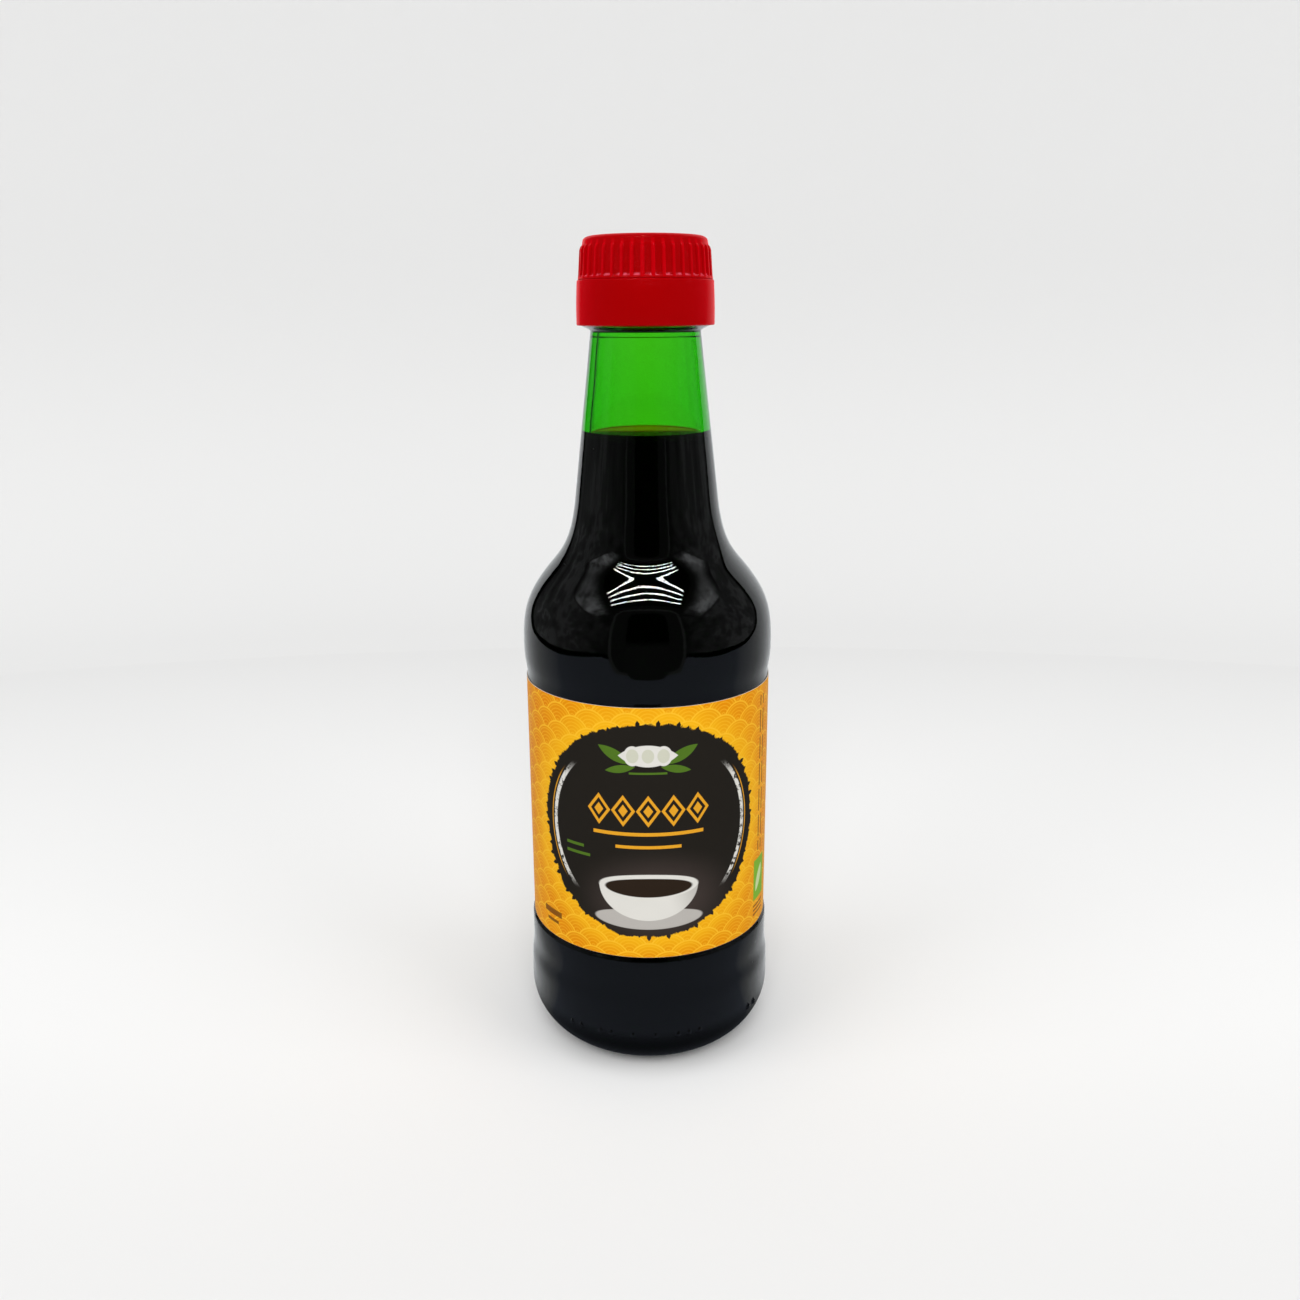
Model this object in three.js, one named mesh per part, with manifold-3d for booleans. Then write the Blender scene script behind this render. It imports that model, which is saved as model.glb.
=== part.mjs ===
// A small bottle of soy sauce: green glass, dark sauce up to the middle of the neck,
// a paper label wrapped round the body, and a red screw cap over a plain red collar.
// Millimetres, +Z up. The origin is on the axis, at the height of what the bottle stands on.
// The middle of the label's front faces -Y.

import * as THREE from 'three';
import { mergeVertices } from 'three/addons/utils/BufferGeometryUtils.js';
import Module from 'manifold-3d';

const wasm = await Module();
wasm.setup();

// Facets round the axis, and steps along the outline's round stretches
const glassFacets = 48;
const ribCount = 40;
const coarse = 3;
const middling = 5;
const fine = 7;

// Glass, outside
const pushUpRadius = 13;
const pushUpHeight = 3.2;
const bearingRadius = 16;
const heelRadius = 29.35;
const heelHeight = 13.3;
const heelBandTop = 18;
const bodyRadius = 28.8;
const bodyBottom = 24.5;
const panelRadius = 28.2;
const panelBottom = 30.6;
const panelTop = 92;
const panelEdge = 1.4;
const shoulderStart = 98.9;
const shoulderTurn = { radius: 21.72, height: 117.7, slope: -0.85 };
const bandReach = 3;
const panelReach = 2;
const bulgeReach = 4;
const shoulderReach = { foot: 7.9, belowTurn: 9.5, aboveTurn: 3.9, neck: 8.9 };
const neckStart = 132.2;
const neckStartRadius = 16.15;
const neckTop = 167.9;
const neckTopRadius = 12.1;
const beadRadius = 14.2;
const beadTop = 169.5;
const beadEdge = 0.5;
const finishRadius = 12.9;
const mouthTop = 185.9;
const mouthRound = 0.8;

// Glass, inside
const cavityRadius = 26.1;
const cavityFloor = 4;
const cavityFloorRise = 1.8;
const cavityFloorRadius = 14;
const cavityHeelTop = 14.5;
const cavityShoulderStart = 97.5;
const shoulderWall = 2.3;
const cavityNeckStartRadius = 13.95;
const cavityNeckTop = 166.2;
const cavityNeckTopRadius = 10.5;
const boreRadius = 9.3;
const boreStep = 1;
const boreRound = 0.4;

// Dots of the mould's code round the heel: two like runs, half a turn apart
const dotSize = { radius: 0.62, stretch: 1.6 };
const dotCentre = { radius: 28.92, height: 11.5 };
const dotPitch = 5.15;
const firstDot = -38.4;
const dotSlots = [0, 1, 3, 4, 6, 8, 10, 11, 12, 18, 19];

// Sauce
const sauceLevel = 147;
const sauceGap = 0.3;

// Label, with its ends glued over each other at the back
const labelInner = 28.4;
const paper = 0.2;
const labelBottom = 31.5;
const labelTop = 91.3;
const overlapWidth = 9;

// Collar that stays on the neck
const collarRadius = 15.03;
const collarTopRadius = 14.75;
const collarBottom = 169.8;
const collarTop = 179.1;
const collarTaperStart = 173;
const collarRound = 0.85;
const collarFootRound = 0.35;
const closureBore = 13.2;

// Screw cap
const capBottom = 179.4;
const capTop = 188;
const capCeiling = 186.2;
const capFootRadius = 14.6;
const ledgeTop = 179.95;
const skirtFootRadius = 13.98;
const skirtTop = 186.1;
const skirtTopRadius = 13.55;
const rimTop = 186.9;
const rimRadius = 13.4;
const crownRadius = 11.4;
const ribLevels = [
  { radius: 14.49, height: 179.75 },
  { radius: 14.13, height: 185.1 },
  { radius: 13.6, height: 186.1 },
];
const ribRoot = 13.4;
const ribWidth = 0.8;
const ribEdge = 0.25;

const at = (radius, height) => new THREE.Vector2(radius, height);
const quarter = Math.PI / 2;

// The points along a curve after its first one, which the stretch before it has given.
const along = (curve, steps) => curve.getPoints(steps).slice(1);

// A curve from one point to another that leaves and arrives along the given slopes,
// each slope being the change of radius for each unit of height.
function sweep(from, to, slopeFrom, slopeTo, reachFrom, reachTo) {
  const leave = at(slopeFrom, 1).setLength(reachFrom);
  const arrive = at(slopeTo, 1).setLength(reachTo);
  return new THREE.CubicBezierCurve(from, from.clone().add(leave), to.clone().sub(arrive), to);
}

// A closed body turned round the vertical axis.
function turned(outline, facets) {
  const geometry = new THREE.LatheGeometry(outline, facets);
  geometry.rotateX(quarter);
  return geometry;
}

// The solid inside a closed geometry, without the slivers that a lathe leaves at its poles.
function solidOf(geometry) {
  geometry.deleteAttribute('normal');
  geometry.deleteAttribute('uv');
  const merged = mergeVertices(geometry);
  const corners = Array.from(merged.index.array);
  const triangles = [];
  for (let i = 0; i < corners.length; i += 3) {
    const triangle = corners.slice(i, i + 3);
    if (new Set(triangle).size === 3) triangles.push(...triangle);
  }
  return new wasm.Manifold(new wasm.Mesh({
    numProp: 3,
    vertProperties: merged.attributes.position.array,
    triVerts: new Uint32Array(triangles),
  }));
}

function geometryOf(solid) {
  const { vertProperties, triVerts } = solid.getMesh();
  const geometry = new THREE.BufferGeometry();
  geometry.setAttribute('position', new THREE.BufferAttribute(vertProperties, 3));
  geometry.setIndex(new THREE.BufferAttribute(triVerts, 1));
  geometry.computeVertexNormals();
  return geometry;
}

function fused(body, extras) {
  return geometryOf(extras.map(solidOf).reduce((whole, extra) => whole.add(extra), solidOf(body)));
}

function piece(name, geometry, colour, roughness) {
  const material = new THREE.MeshStandardMaterial({ color: colour, roughness, metalness: 0 });
  const mesh = new THREE.Mesh(geometry, material);
  mesh.name = name;
  return mesh;
}

// The shoulder and the flare above it, from the body to the neck, at a depth inside the glass.
function shoulder(bottom, neck, depth, steps) {
  const { radius, height, slope } = shoulderTurn;
  const inward = at(-1, slope).setLength(depth);
  const turn = at(radius, height).add(inward);
  const neckSlope = (neckTopRadius - neckStartRadius) / (neckTop - neckStart);
  const reach = shoulderReach;
  return [
    ...along(sweep(bottom, turn, 0, slope, reach.foot - depth, reach.belowTurn), steps),
    ...along(sweep(turn, neck, slope, neckSlope, reach.aboveTurn + depth / 2, reach.neck), steps),
  ];
}

function glassOutside() {
  const pushUp = new THREE.EllipseCurve(0, 0, pushUpRadius, pushUpHeight, quarter, 0, true);
  const heel = new THREE.EllipseCurve(
    bearingRadius, heelHeight, heelRadius - bearingRadius, heelHeight, -quarter, 0, false);
  const heelBand = at(heelRadius, heelBandTop);
  const body = at(bodyRadius, bodyBottom);
  const panel = at(panelRadius, panelTop);
  const bulge = at(bodyRadius, shoulderStart);
  return [
    at(0, pushUpHeight),
    ...along(pushUp, coarse),
    at(bearingRadius, 0),
    ...along(heel, fine),
    heelBand,
    ...along(sweep(heelBand, body, 0, 0, bandReach, bandReach), coarse),
    at(bodyRadius, panelBottom - panelEdge),
    at(panelRadius, panelBottom),
    panel,
    ...along(sweep(panel, bulge, 0, 0, panelReach, bulgeReach), coarse),
    ...shoulder(bulge, at(neckStartRadius, neckStart), 0, fine),
    at(neckTopRadius, neckTop),
    at(neckTopRadius + beadEdge, neckTop + beadEdge),
    at(beadRadius, beadTop - beadEdge),
    at(beadRadius, beadTop),
    at(finishRadius, beadTop),
    at(finishRadius, mouthTop - mouthRound),
    at(finishRadius - mouthRound, mouthTop),
  ];
}

// The cavity's wall from the middle of its floor up to the sauce's level, drawn in by a gap.
function cavityWall(gap) {
  const floor = new THREE.EllipseCurve(
    0, cavityFloor + gap, cavityFloorRadius, cavityFloorRise, quarter, 0, true);
  const heel = new THREE.EllipseCurve(
    cavityFloorRadius, cavityHeelTop, cavityRadius - gap - cavityFloorRadius,
    cavityHeelTop - cavityFloor - gap, -quarter, 0, false);
  const shoulderFoot = at(cavityRadius - gap, cavityShoulderStart);
  const neckFoot = at(cavityNeckStartRadius - gap, neckStart);
  return [
    at(0, cavityFloor + cavityFloorRise + gap),
    ...along(floor, coarse),
    ...along(heel, middling),
    shoulderFoot,
    ...shoulder(shoulderFoot, neckFoot, shoulderWall + gap, middling),
    at(cavityRadiusAt(sauceLevel) - gap, sauceLevel),
  ];
}

// The straight inside of the neck, between its foot and the step below the bore.
function cavityRadiusAt(height) {
  const share = (height - neckStart) / (cavityNeckTop - neckStart);
  return THREE.MathUtils.lerp(cavityNeckStartRadius, cavityNeckTopRadius, share);
}

function heelDots() {
  const run = dotSlots.map((slot) => firstDot + slot * dotPitch);
  const turns = [...run, ...run.map((turn) => turn + 180)];
  return turns.map((turn) => {
    const dot = new THREE.OctahedronGeometry(dotSize.radius, 1);
    dot.scale(1, 1, dotSize.stretch);
    dot.translate(0, -dotCentre.radius, dotCentre.height);
    dot.rotateZ(THREE.MathUtils.degToRad(turn));
    return dot;
  });
}

function bottle() {
  const inside = [
    at(boreRadius + mouthRound, mouthTop),
    at(boreRadius, mouthTop - mouthRound),
    at(boreRadius, cavityNeckTop + boreStep),
    at(boreRadius + boreRound, cavityNeckTop + boreRound),
    at(cavityNeckTopRadius, cavityNeckTop),
    ...cavityWall(0).reverse(),
  ];
  const body = turned([...glassOutside(), ...inside], glassFacets);
  return piece('bottle', fused(body, heelDots()), 0x2f9a1c, 0.05);
}

function sauce() {
  const outline = [...cavityWall(sauceGap), at(0, sauceLevel)];
  return piece('soy_sauce', turned(outline, glassFacets), 0x120806, 0.1);
}

function label() {
  const outer = labelInner + paper;
  const halfOverlap = overlapWidth / outer / 2;
  const shape = new THREE.Shape();
  shape.absarc(0, 0, outer, quarter + halfOverlap, quarter - halfOverlap + 2 * Math.PI, false);
  shape.absarc(0, 0, outer + paper, quarter - halfOverlap, quarter + halfOverlap, false);
  const hole = new THREE.Path();
  hole.absarc(0, 0, labelInner, 0, 2 * Math.PI, false);
  shape.holes.push(hole);
  const geometry = new THREE.ExtrudeGeometry(shape, {
    depth: labelTop - labelBottom,
    bevelEnabled: false,
    curveSegments: glassFacets / 2,
  });
  geometry.translate(0, 0, labelBottom);
  return piece('label', geometry, 0xf0a32a, 0.45);
}

function collar() {
  const shoulderRound = new THREE.EllipseCurve(
    collarTopRadius - collarRound, collarTop - collarRound, collarRound, collarRound, 0, quarter, false);
  const outline = [
    at(closureBore, collarTop),
    at(closureBore, collarBottom),
    at(collarRadius - collarFootRound, collarBottom),
    at(collarRadius, collarBottom + collarFootRound),
    at(collarRadius, collarTaperStart),
    at(collarTopRadius, collarTop - collarRound),
    ...along(shoulderRound, coarse),
    at(closureBore, collarTop),
  ];
  return piece('collar', turned(outline, glassFacets), 0xb4060c, 0.35);
}

// One grip rib at its turn round the cap: an upright blade with chamfered edges,
// whose reach shrinks from each of its levels to the next.
function rib(index) {
  const half = ribWidth / 2;
  const reach = ribLevels[0].radius - ribRoot;
  const section = new THREE.Shape([
    at(0, -half),
    at(reach - ribEdge, -half),
    at(reach, ribEdge - half),
    at(reach, half - ribEdge),
    at(reach - ribEdge, half),
    at(0, half),
  ]);
  const steps = ribLevels.length - 1;
  const blade = new THREE.ExtrudeGeometry(section, { depth: steps, steps, bevelEnabled: false });
  const corners = blade.attributes.position;
  for (let i = 0; i < corners.count; i += 1) {
    const level = ribLevels[Math.round(corners.getZ(i))];
    const share = (level.radius - ribRoot) / reach;
    corners.setXYZ(i, ribRoot + corners.getX(i) * share, corners.getY(i), level.height);
  }
  blade.rotateZ((index + 0.5) / ribCount * 2 * Math.PI);
  return blade;
}

function cap() {
  const crown = new THREE.EllipseCurve(
    crownRadius, rimTop, rimRadius - crownRadius, capTop - rimTop, 0, quarter, false);
  const outline = [
    at(0, capCeiling),
    at(closureBore, capCeiling),
    at(closureBore, capBottom),
    at(capFootRadius, capBottom),
    at(skirtFootRadius, ledgeTop),
    at(skirtTopRadius, skirtTop),
    at(rimRadius, rimTop),
    ...along(crown, coarse),
    at(0, capTop),
  ];
  const ribs = Array.from({ length: ribCount }, (_, index) => rib(index));
  return piece('cap', fused(turned(outline, ribCount), ribs), 0xb4060c, 0.35);
}

const object = new THREE.Group();
object.add(bottle(), sauce(), label(), collar(), cap());

export default object;
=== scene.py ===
# %% [markdown]
# # A small bottle of soy sauce
#
# The real thing is a small bottle of clear green glass. Dark sauce fills it to the middle of
# its neck, a paper label is glued round its body, and a ribbed red screw cap closes it, over
# a plain red collar that stays on the neck.
#
# This script dresses a finished CAD model of that bottle. The model gives every place and
# size, so each piece below is made straight in its final place, in metres. Most numbers of a
# bottle are easier to read in millimetres, so the outlines are given in millimetres and are
# scaled once, when a mesh is made.

# %% Frame
import math

import bmesh
import bpy
from mathutils import Matrix, Vector
from mathutils.geometry import interpolate_bezier


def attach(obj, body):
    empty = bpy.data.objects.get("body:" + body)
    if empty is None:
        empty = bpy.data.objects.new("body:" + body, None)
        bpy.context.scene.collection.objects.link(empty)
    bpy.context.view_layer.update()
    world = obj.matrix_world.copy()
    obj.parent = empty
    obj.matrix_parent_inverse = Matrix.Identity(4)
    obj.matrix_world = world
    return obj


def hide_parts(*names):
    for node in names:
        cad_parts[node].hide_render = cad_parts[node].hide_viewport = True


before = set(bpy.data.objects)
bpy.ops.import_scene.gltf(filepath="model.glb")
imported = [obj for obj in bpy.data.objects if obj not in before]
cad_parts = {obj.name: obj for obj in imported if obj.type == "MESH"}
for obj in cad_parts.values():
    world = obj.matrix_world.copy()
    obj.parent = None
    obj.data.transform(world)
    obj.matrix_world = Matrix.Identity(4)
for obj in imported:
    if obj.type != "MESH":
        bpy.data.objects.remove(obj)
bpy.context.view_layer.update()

print("nodes", sorted(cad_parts))

# %% [markdown]
# ## Camera
#
# The camera stands a little above the label and tips down. Its place and lens were solved
# from the bottle's own ellipses: the mouth, the label's edges and the foot of the glass. The
# tiny turn about its own line of sight is the lean that a hand-held camera has.

# %% Camera
mm = 0.001
camera_place = Vector((0.00057, -0.26595, 0.17269))
camera_tip = math.radians(73.92)
camera_lean = -0.0055
camera_lens = 32.60


def set_up_camera():
    data = bpy.data.cameras.new("photo_camera")
    data.sensor_width = 36
    data.lens = camera_lens
    data.clip_start = 0.01
    data.clip_end = 20
    camera = bpy.data.objects.new("photo_camera", data)
    bpy.context.scene.collection.objects.link(camera)
    turn = Matrix.Rotation(camera_tip, 4, "X") @ Matrix.Rotation(camera_lean, 4, "Z")
    camera.matrix_world = Matrix.Translation(camera_place) @ turn
    bpy.context.scene.camera = camera
    return camera


camera = set_up_camera()
print("camera", [round(value, 4) for value in camera.location], "lens", camera.data.lens)

# %% [markdown]
# ## Shader arithmetic
#
# A finish is a sum of masks: rings, spots and grain. Dragged together by hand that is a
# large web of Math nodes. Here a small class wraps a node's output, so that an expression
# such as `1 - mask` adds the Math node by itself. Every other node comes from one method,
# which takes the node's type, its settings and what goes into its sockets.

# %% Signals and finishes
class Signal:
    """A number or colour on its way through a finish."""

    def __init__(self, finish, socket):
        self.finish = finish
        self.socket = socket

    def math(self, operation, *values):
        return self.finish.node("ShaderNodeMath", {"operation": operation}, dict(enumerate(values)))

    def __add__(self, other):
        return self.math("ADD", self, other)

    def __sub__(self, other):
        return self.math("SUBTRACT", self, other)

    def __rsub__(self, other):
        return self.math("SUBTRACT", other, self)

    def __mul__(self, other):
        return self.math("MULTIPLY", self, other)

    def __truediv__(self, other):
        return self.math("DIVIDE", self, other)

    def __abs__(self):
        return self.math("ABSOLUTE", self)

    def __lt__(self, other):
        return self.math("LESS_THAN", self, other)

    def __and__(self, other):
        return self.math("MINIMUM", self, other)

    def __or__(self, other):
        return self.math("MAXIMUM", self, other)

    __radd__ = __add__
    __rmul__ = __mul__


class Finish:
    """A material under construction."""

    def __init__(self, name):
        self.material = bpy.data.materials.new(name)
        self.material.use_nodes = True
        self.tree = self.material.node_tree
        self.tree.nodes.clear()

    def node(self, kind, settings=None, sockets=None, output=0):
        made = self.tree.nodes.new(kind)
        for name, value in (settings or {}).items():
            if name == "stops":
                self.set_stops(made.color_ramp, value)
            else:
                setattr(made, name, value)
        for name, value in (sockets or {}).items():
            if isinstance(value, Signal):
                self.tree.links.new(value.socket, made.inputs[name])
            else:
                made.inputs[name].default_value = value
        return Signal(self, made.outputs[output])

    def set_stops(self, ramp, stops):
        while len(ramp.elements) < len(stops):
            ramp.elements.new(1)
        for element, (place, colour) in zip(ramp.elements, stops):
            element.position = place
            element.color = colour

    def place(self):
        """The point's x, y and z in millimetres."""
        here = self.node("ShaderNodeTexCoord", output="Object")
        parts = [
            self.node("ShaderNodeSeparateXYZ", None, {0: here}, axis) * 1000
            for axis in "XYZ"
        ]
        return here, parts

    def blend(self, share, under, over):
        sockets = {0: share, 6: under, 7: over}
        return self.node("ShaderNodeMix", {"data_type": "RGBA"}, sockets, 2)

    def rise(self, value, low, high):
        """0 below low, 1 above high and a soft step between; low above high makes it fall."""
        settings = {"interpolation_type": "SMOOTHSTEP"}
        if low < high:
            return self.node("ShaderNodeMapRange", settings, {0: value, 1: low, 2: high})
        ends = {0: value, 1: high, 2: low, 3: 1.0, 4: 0.0}
        return self.node("ShaderNodeMapRange", settings, ends)

    def noise(self, place, scale, detail=2.0, roughness=0.5):
        sockets = {"Vector": place, "Scale": scale, "Detail": detail, "Roughness": roughness}
        return self.node("ShaderNodeTexNoise", None, sockets, "Fac")

    def ramp(self, share, stops):
        """A colour that follows a share from 0 to 1 through given stops."""
        return self.node("ShaderNodeValToRGB", {"stops": stops}, {0: share}, "Color")

    def bump(self, height, strength, distance):
        sockets = {"Strength": strength, "Distance": distance, "Height": height}
        return self.node("ShaderNodeBump", None, sockets, "Normal")

    def done(self, **parts):
        """Joins the shader, and a volume if there is one, to the output."""
        out = self.tree.nodes.new("ShaderNodeOutputMaterial")
        for name, signal in parts.items():
            self.tree.links.new(signal.socket, out.inputs[name])
        return self.material


def paint(red, green, blue):
    """A colour as a screen shows it, 0 to 255, turned into the linear light that shaders use."""
    parts = []
    for value in (red, green, blue):
        share = value / 255
        parts.append(share / 12.92 if share <= 0.04045 else ((share + 0.055) / 1.055) ** 2.4)
    return (*parts, 1.0)


# %% [markdown]
# ## Turning on a lathe
#
# All the glass and plastic here is round, so each piece starts as half of its section, a
# line of points given as radius and height. Spinning that line once round the axis gives
# the surface. A spin that isn't merged leaves a seam, and the points on the axis come out
# as a bundle of doubles, so both are joined before the faces are turned to point outwards.

# %% Lathe
def point(radius, height):
    return Vector((radius, height))


def arc(centre, radii, first, last, steps):
    """Points on part of an ellipse, from one angle in degrees to another."""
    points = []
    for step in range(steps + 1):
        turn = math.radians(first + (last - first) * step / steps)
        across = radii[0] * math.cos(turn)
        up = radii[1] * math.sin(turn)
        points.append(point(centre[0] + across, centre[1] + up))
    return points


def sweep(start, end, slope_start, slope_end, reach_start, reach_end, steps):
    """A flowing line between two points, without its first one; slopes are radius over height."""
    leave = Vector((slope_start, 1)).normalized() * reach_start
    arrive = Vector((slope_end, 1)).normalized() * reach_end
    return interpolate_bezier(start, start + leave, end - arrive, end, steps + 1)[1:]


def turned(outline, steps, closed=False):
    """The outline spun round the axis, as a bmesh in metres."""
    shape = bmesh.new()
    line = [shape.verts.new((spot.x * mm, 0, spot.y * mm)) for spot in outline]
    pairs = list(zip(line, line[1:]))
    if closed:
        pairs.append((line[-1], line[0]))
    edges = [shape.edges.new(pair) for pair in pairs]
    bmesh.ops.spin(
        shape, geom=[*line, *edges], cent=(0, 0, 0), axis=(0, 0, 1),
        angle=2 * math.pi, steps=steps, use_merge=True)
    bmesh.ops.remove_doubles(shape, verts=shape.verts, dist=1e-6)
    bmesh.ops.recalc_face_normals(shape, faces=shape.faces)
    return shape


def object_from(shape, name, sharp=40):
    """An object at the origin from a bmesh, smooth but for its edges above an angle."""
    mesh = bpy.data.meshes.new(name)
    shape.to_mesh(mesh)
    shape.free()
    mesh.shade_smooth()
    mesh.set_sharp_from_angle(angle=math.radians(sharp))
    made = bpy.data.objects.new(name, mesh)
    bpy.context.scene.collection.objects.link(made)
    return made


def put_in_place(made, material, node):
    """Dresses a piece with its finish, hangs it under the root, hides the solid it stands for and
    prints its size.
    """
    made.data.materials.append(material)
    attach(made, "root")
    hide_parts(node)
    sides = [corner[axis] for corner in made.bound_box for axis in range(3)]
    size = [round((max(sides[a::3]) - min(sides[a::3])) * 1000, 2) for a in range(3)]
    print(made.name, len(made.data.polygons), "faces,", size, "mm")


# %% [markdown]
# ## The glass
#
# A blown bottle isn't a tube: its wall is thicker at the heel and in the neck, and the two
# sides of the wall don't run alike. The outside is drawn from the foot up: the hollow under
# the base, the flat ring that it stands on, the round heel, a slightly sunk panel that
# protects the label, the shoulder and the long neck with a bead that the closure grips. The
# inside follows at its own depth. Both are one closed line, so the glass is a real solid
# that light can bend and lose colour in.
#
# Smooth shading spreads a corner's bend over the whole face beside it, and clear glass shows
# that at once. So short faces stand next to each corner: below the bead, and on both sides
# of the fine groove inside the neck, which shows as a thin dark line.

# %% Outside of the glass
heel_centre = 16
heel_reach = 13.35
heel_bend = 13.3
heel_top = point(29.35, 18)
below_panel = point(28.8, 30.2)
panel_bottom = point(28.2, 31.4)
panel_top = point(28.2, 92)
body_top = point(28.8, 98.9)
shoulder_turn = point(21.72, 117.7)
turn_slope = -0.85
neck_foot = point(16.15, 132.2)
neck_top = point(12.1, 167.9)
neck_slope = (neck_top.x - neck_foot.x) / (neck_top.y - neck_foot.y)
bead_foot = point(12.06, 168.4)


def shoulder(bottom, neck, depth, steps):
    """The shoulder and the flare above it, from the body to the neck, at a depth in the glass."""
    inward = Vector((-1, turn_slope)).normalized() * depth
    turn = shoulder_turn + inward
    return [
        *sweep(bottom, turn, 0, turn_slope, 7.9 - depth, 9.5, steps),
        *sweep(turn, neck, turn_slope, neck_slope, 3.9 + depth / 2, 8.9, steps),
    ]


def glass_outside():
    return [
        *arc((0, 0), (13, 3.2), 90, 0, 12),
        *arc((heel_centre, heel_bend), (heel_reach, heel_bend), -90, 0, 24),
        heel_top,
        *sweep(heel_top, point(28.8, 24.5), 0, 0, 3, 3, 8),
        below_panel,
        *sweep(below_panel, panel_bottom, 0, 0, 0.5, 0.5, 8),
        panel_top,
        *sweep(panel_top, body_top, 0, 0, 2, 4, 10),
        *shoulder(body_top, neck_foot, 0, 26),
        point(14.1, 150.3),
        point(12.085, 168.2),
        bead_foot,
        *sweep(bead_foot, point(14.16, 169.62), 0.05, 2.2, 0.45, 0.9, 10),
        *arc((14.14, 169.66), (0.05, 0.04), -40, 90, 4),
        point(12.9, 169.7),
        point(12.9, 185.1),
        *arc((12.1, 185.1), (0.8, 0.8), 0, 90, 6),
    ]


# %% Inside of the glass
bore_foot = 132.2
bore_top = 166.2
bore_wide = 13.95
bore_narrow = 10.5
wall_above_heel = 2.3


def neck_bore(height):
    """The radius of the neck's inside at a height."""
    share = (height - bore_foot) / (bore_top - bore_foot)
    return bore_wide + (bore_narrow - bore_wide) * share


def cavity(depth, top, steps):
    """The cavity's wall from the middle of its floor to a height, drawn deeper into the glass."""
    foot = point(26.1 + depth, 97.5)
    neck = point(neck_bore(bore_foot) + depth, bore_foot)
    return [
        *arc((0, 4 - depth), (14, 1.8), 90, 0, 10),
        *arc((14, 14.5), (12.1 + depth, 10.5 + depth), -90, 0, 18)[1:],
        foot,
        *shoulder(foot, neck, wall_above_heel - depth, steps),
        point(neck_bore(top) + depth, top),
    ]


mouth_bore = point(9.3, 173.4)
glass_line = [
    *glass_outside(),
    *arc((10.1, 185.1), (0.8, 0.8), 90, 180, 6),
    mouth_bore,
    *sweep(mouth_bore, point(10.22, 169.0), 0, -0.1, -1.8, -1.8, 8),
    point(10.38, 167.4),
    point(10.395, 167.25),
    point(10.455, 167.16),
    point(10.41, 167.07),
    point(10.42, 166.97),
    *reversed(cavity(0, 166.0, 22)),
]
print("points in the glass's outline", len(glass_line))

# %% [markdown]
# Round the heel stands a row of small raised drops, the code of the mould that the bottle
# was blown in. The band where they stand is cut into smaller faces first, every new point is
# put back on the heel's curve, and then the points inside a drop are pushed outwards.

# %% Drops on the heel
first_drop = -38.4
drop_pitch = 5.15
drop_slots = [0, 1, 3, 4, 6, 8, 10, 11, 12, 18, 19]
drop_height = 11.3
drop_rise = 0.46
drop_half_width = 0.7
drop_above = 1.15
drop_below = 0.62
band_radius = 28
band_bottom = 8.9
slack = 0.01


def heel_radius(height):
    up = (height - heel_bend) / heel_bend
    return heel_centre + heel_reach * math.sqrt(1 - up * up)


def drop_swell(across, up):
    """How far a drop, round below and pointed above, stands out at a place on it."""
    long = drop_above if up > 0 else drop_below
    wide = drop_half_width * (1 - 0.6 * min(max(up / drop_above, 0), 1))
    inside = 1 - (across / wide) ** 2 - (up / long) ** 2
    return drop_rise * math.sqrt(max(inside, 0))


def in_band(vert):
    """Whether a point lies on the part of the heel where the drops stand."""
    radius = math.hypot(vert.co.x, vert.co.y) / mm
    return radius > band_radius and band_bottom < vert.co.z / mm < heel_bend + slack


def raise_drops(shape):
    """Cuts the heel's band finer and raises the drops, in front and again behind."""
    band = [edge for edge in shape.edges if all(in_band(vert) for vert in edge.verts)]
    bmesh.ops.subdivide_edges(shape, edges=band, cuts=4, use_grid_fill=True)
    turns = [first_drop + slot * drop_pitch for slot in drop_slots]
    turns = [*turns, *[value + 180 for value in turns]]
    for vert in shape.verts:
        if not in_band(vert):
            continue
        radius = math.hypot(vert.co.x, vert.co.y) / mm
        height = vert.co.z / mm
        true_radius = heel_radius(min(height, heel_bend))
        azimuth = math.degrees(math.atan2(vert.co.x, -vert.co.y))
        for turn in turns:
            across = math.radians((azimuth - turn + 180) % 360 - 180) * true_radius
            if abs(across) < drop_half_width + 0.05:
                true_radius += drop_swell(across, height - drop_height)
                break
        vert.co.x *= true_radius / radius
        vert.co.y *= true_radius / radius


glass_shape = turned(glass_line, 192)
raise_drops(glass_shape)
glass = object_from(glass_shape, "glass_bottle")

# %% [markdown]
# Green glass gets its colour from what the light loses on its way through, so the surface
# is clear and the colour sits in the volume. The loss was worked out from the neck: pale
# paper seen through about 4.4 mm of glass turns a bright leaf green. A blown surface is
# never quite true, so a very shallow, wide bump makes its reflections swim a little, and
# fine dust dulls it here and there.

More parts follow.
